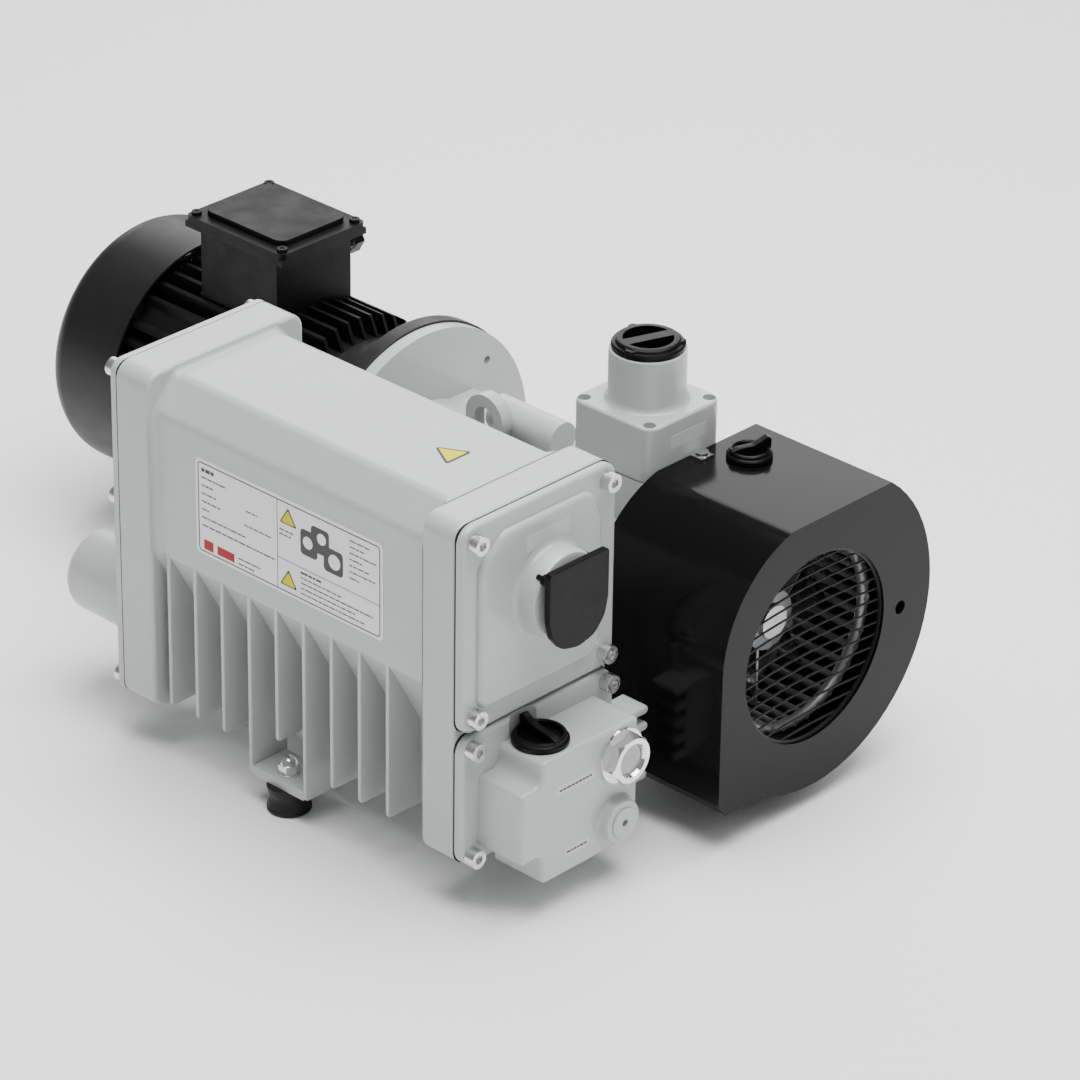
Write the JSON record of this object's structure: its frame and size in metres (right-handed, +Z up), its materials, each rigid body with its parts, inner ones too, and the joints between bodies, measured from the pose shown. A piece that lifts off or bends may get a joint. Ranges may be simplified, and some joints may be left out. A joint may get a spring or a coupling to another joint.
{
  "type": "rotary vane vacuum pump",
  "caption": "Oil-lubricated rotary vane vacuum pump: ribbed separator box, vane pump cylinder with threaded inlet, fan cowl and flange-mounted electric motor.",
  "frame": {"origin": "middle of the machine's plan, on the surface that the rubber feet stand on", "axes": "+X along the shaft from the motor towards the fan cowl, +Y from the separator box towards the pump, +Z up"},
  "size_m": [0.6736, 0.392, 0.2995],
  "materials": {
    "casting_paint": "satin light grey paint on castings",
    "motor_paint": "matt black paint on aluminium",
    "black_paint": "satin black paint",
    "cowl_gloss": "gloss black paint on sheet steel",
    "zinc_steel": "zinc-plated steel",
    "machined_steel": "machined steel",
    "bright_chrome": "polished",
    "black_plastic": "moulded black plastic",
    "gasket_black": "gasket sheet",
    "foot_rubber": "black rubber",
    "spider_rubber": "red elastomer",
    "filter_fibre": "glass fibre wrap",
    "vane_composite": "fibre-reinforced composite",
    "fan_alloy": "cast aluminium",
    "winding_iron": "laminations and varnished windings",
    "plate_foil": "white printed foil",
    "lens_glass": "clear",
    "float_shell": "hollow float"
  },
  "bodies": {
    "pump": {"separator_housing": "casting_paint", "rear_cover": "casting_paint", "rear_cover_gasket": "gasket_black", "filter_cover": "casting_paint", "filter_cover_gasket": "gasket_black", "sump_cover": "casting_paint", "sump_cover_gasket": "gasket_black", "cover_screws": "zinc_steel", "exhaust_filter": "filter_fibre", "filter_spring": "zinc_steel", "sight_glass_fitting": "bright_chrome", "sight_glass_lens": "lens_glass", "drain_plug": "casting_paint", "nameplate": "plate_foil", "float_pin": "zinc_steel", "oil_filter": "casting_paint", "rubber_feet": "foot_rubber", "foot_nuts": "bright_chrome", "pump_cylinder": "casting_paint", "motor_side_plate": "casting_paint", "fan_side_plate": "casting_paint", "plate_screws": "zinc_steel", "shaft_bearings": "machined_steel", "exhaust_reed": "machined_steel", "inlet_flange": "casting_paint", "inlet_screws": "zinc_steel", "inlet_screen": "machined_steel", "check_valve_spring": "machined_steel", "coupling_housing": "casting_paint", "flange_bolts": "zinc_steel", "oil_cooler": "black_paint", "fan_cowl": "cowl_gloss", "cowl_guard": "black_paint", "cowl_screws": "bright_chrome", "gas_ballast_valve": "machined_steel", "motor_housing": "motor_paint", "motor_flange": "black_paint", "motor_rear_shield": "motor_paint", "motor_stator": "winding_iron", "motor_fan_cover": "black_paint", "terminal_box": "motor_paint", "terminal_lid": "motor_paint", "terminal_lid_screws": "motor_paint", "cable_gland": "black_plastic"},
    "rotor": {"pump_rotor": "machined_steel", "pump_hub": "machined_steel", "coupling_spider": "spider_rubber", "motor_hub": "machined_steel", "cooling_fan": "fan_alloy", "motor_rotor": "machined_steel", "motor_fan": "black_plastic"},
    "vane_a": {"vane_1": "vane_composite"},
    "vane_b": {"vane_2": "vane_composite"},
    "vane_c": {"vane_3": "vane_composite"},
    "fill_plug": {"oil_fill_plug": "black_plastic"},
    "ballast_knob": {"gas_ballast_knob": "black_plastic"},
    "inlet_cap": {"inlet_plug": "black_plastic"},
    "deflector": {"exhaust_deflector": "black_plastic"},
    "check_valve": {"check_valve_disc": "machined_steel"},
    "float": {"float_valve": "float_shell"}
  },
  "joints": [
    {"name": "rotor_spin", "type": "hinge", "parent": "pump", "child": "rotor", "pos_m": [0.14925, 0.076, 0.127], "axis": [1, 0, 0], "continuous": true},
    {"name": "vane_a_slide", "type": "slide", "parent": "rotor", "child": "vane_a", "axis": [0, 0, 1], "range_m": [-0.0014, 0]},
    {"name": "vane_b_slide", "type": "slide", "parent": "rotor", "child": "vane_b", "axis": [0, -0.866, -0.5], "range_m": [-0.0014, 0]},
    {"name": "vane_c_slide", "type": "slide", "parent": "rotor", "child": "vane_c", "axis": [0, 0.866, -0.5], "range_m": [-0.0014, 0]},
    {"name": "fill_plug_turn", "type": "hinge", "parent": "pump", "child": "fill_plug", "pos_m": [0.28425, -0.139, 0.1175], "axis": [0, 0, 1], "range_deg": [0, 90]},
    {"name": "ballast_knob_turn", "type": "hinge", "parent": "pump", "child": "ballast_knob", "pos_m": [0.24425, 0.106, 0.222], "axis": [0, 0, 1], "range_deg": [0, 90]},
    {"name": "inlet_plug_lift", "type": "slide", "parent": "pump", "child": "inlet_cap", "axis": [0, 0, 1], "range_m": [0, 0.06]},
    {"name": "deflector_pull", "type": "slide", "parent": "pump", "child": "deflector", "axis": [1, 0, 0], "range_m": [0, 0.06]},
    {"name": "check_valve_lift", "type": "slide", "parent": "pump", "child": "check_valve", "axis": [0, 0, 1], "range_m": [-0.008, 0], "stiffness_N_per_m": 300, "springref_m": 0.004, "deforming": ["check_valve_spring"]},
    {"name": "float_swing", "type": "hinge", "parent": "pump", "child": "float", "pos_m": [0.15025, -0.116, 0.121], "axis": [0, 1, 0], "range_deg": [-10, 0]}
  ]
}
